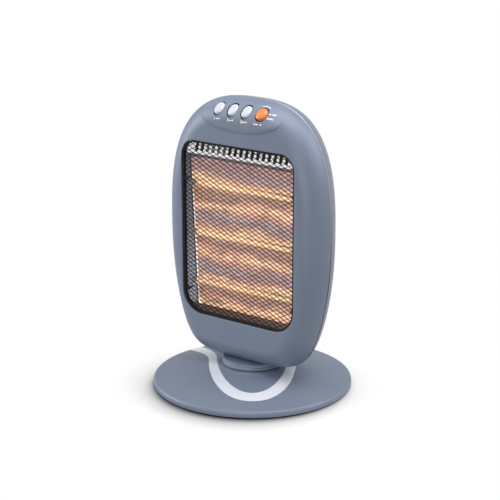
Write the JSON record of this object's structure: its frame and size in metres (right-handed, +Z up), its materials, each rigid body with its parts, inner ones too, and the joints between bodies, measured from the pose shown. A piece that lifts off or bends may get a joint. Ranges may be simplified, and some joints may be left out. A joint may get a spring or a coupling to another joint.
{
  "type": "halogen heater",
  "caption": "Upright halogen heater with rounded head, wire guard over quartz lamps, rocker switches on top and a round domed foot the head swings on.",
  "frame": {"origin": "middle of the round foot, on the floor", "axes": "+Z up; the head looks along -Y at rest; +X is to the right of someone who faces the head"},
  "size_m": [0.28, 0.28, 0.409],
  "materials": {
    "shell_blue": "satin metallic blue-grey moulded plastic",
    "shell_grey": "satin light grey moulded plastic",
    "inlay_light": "satin silver-white plastic",
    "black_steel": "black stoved enamel",
    "cast_weight": "plain casting",
    "foot_rubber": "matt black",
    "zinc_steel": "zinc plated sheet",
    "spring_steel": "bare spring steel",
    "natural_nylon": "natural nylon",
    "black_plastic": "fine moulded texture",
    "bright_aluminium": "bright rolled reflector sheet",
    "quartz": "clear quartz tube",
    "glowing_coil": "hot tungsten filament",
    "white_ceramic": "unglazed steatite",
    "rocker_white": "gloss white plastic",
    "rocker_orange": "gloss orange plastic",
    "wire_sleeve": "woven glass-fibre sleeve"
  },
  "bodies": {
    "foot": {"base_cover": "shell_blue", "base_plate": "black_steel", "base_weight": "cast_weight", "base_inlay": "inlay_light", "base_feet": "foot_rubber", "base_screws": "zinc_steel", "swivel_post": "zinc_steel", "thrust_washer": "natural_nylon", "post_ring": "zinc_steel", "drive_gear": "natural_nylon", "tipover_switch": "black_plastic", "tipover_spring": "spring_steel"},
    "plunger": {"tipover_plunger": "natural_nylon"},
    "head": {"turntable_collar": "shell_blue", "swivel_plate": "zinc_steel", "front_shell": "shell_blue", "back_shell": "shell_grey", "shell_screws": "zinc_steel", "guard_frame": "black_steel", "guard_net": "black_steel", "guard_screws": "black_steel", "reflector": "bright_aluminium", "lamp_top": "quartz", "lamp_middle": "quartz", "lamp_bottom": "quartz", "coil_top": "glowing_coil", "coil_middle": "glowing_coil", "coil_bottom": "glowing_coil", "lamp_caps": "white_ceramic", "lamp_clips": "spring_steel", "heat_shield": "zinc_steel", "thermal_cutout": "black_plastic", "control_panel": "shell_blue", "switch_bank": "black_plastic", "swing_motor": "zinc_steel", "motor_bracket": "zinc_steel", "terminal_block": "natural_nylon", "inlet_gland": "black_plastic", "wiring": "wire_sleeve", "grip_cup": "black_plastic"},
    "pinion": {"drive_pinion": "natural_nylon"},
    "low_switch": {"rocker_low": "rocker_white"},
    "medium_switch": {"rocker_medium": "rocker_white"},
    "high_switch": {"rocker_high": "rocker_white"},
    "swing_switch": {"rocker_swing": "rocker_orange"}
  },
  "joints": [
    {"name": "head_swing", "type": "hinge", "parent": "foot", "child": "head", "pos_m": [0, 0, 0.045], "axis": [0, 0, 1], "range_deg": [0, 74]},
    {"name": "pinion_turn", "type": "hinge", "parent": "head", "child": "pinion", "pos_m": [-0.034, 0, 0.061], "axis": [0, 0, 1], "range_deg": [0, 178]},
    {"name": "plunger_slide", "type": "slide", "parent": "foot", "child": "plunger", "axis": [0, 0, 1], "range_m": [-0.004, 0], "stiffness_N_per_m": 60, "springref_m": -0.005, "deforming": ["tipover_spring"]},
    {"name": "low_rocker", "type": "hinge", "parent": "head", "child": "low_switch", "pos_m": [-0.032, -0.02715, 0.39078], "axis": [1, 0, 0], "range_deg": [0, 20]},
    {"name": "medium_rocker", "type": "hinge", "parent": "head", "child": "medium_switch", "pos_m": [-0.0088, -0.02715, 0.39078], "axis": [1, 0, 0], "range_deg": [0, 20]},
    {"name": "high_rocker", "type": "hinge", "parent": "head", "child": "high_switch", "pos_m": [0.014, -0.02715, 0.39078], "axis": [1, 0, 0], "range_deg": [0, 20]},
    {"name": "swing_rocker", "type": "hinge", "parent": "head", "child": "swing_switch", "pos_m": [0.0383, -0.02715, 0.39078], "axis": [1, 0, 0], "range_deg": [0, 20]}
  ],
  "couplings": [
    {"joint": "pinion_turn", "follows": "head_swing", "ratio": 2.4}
  ]
}
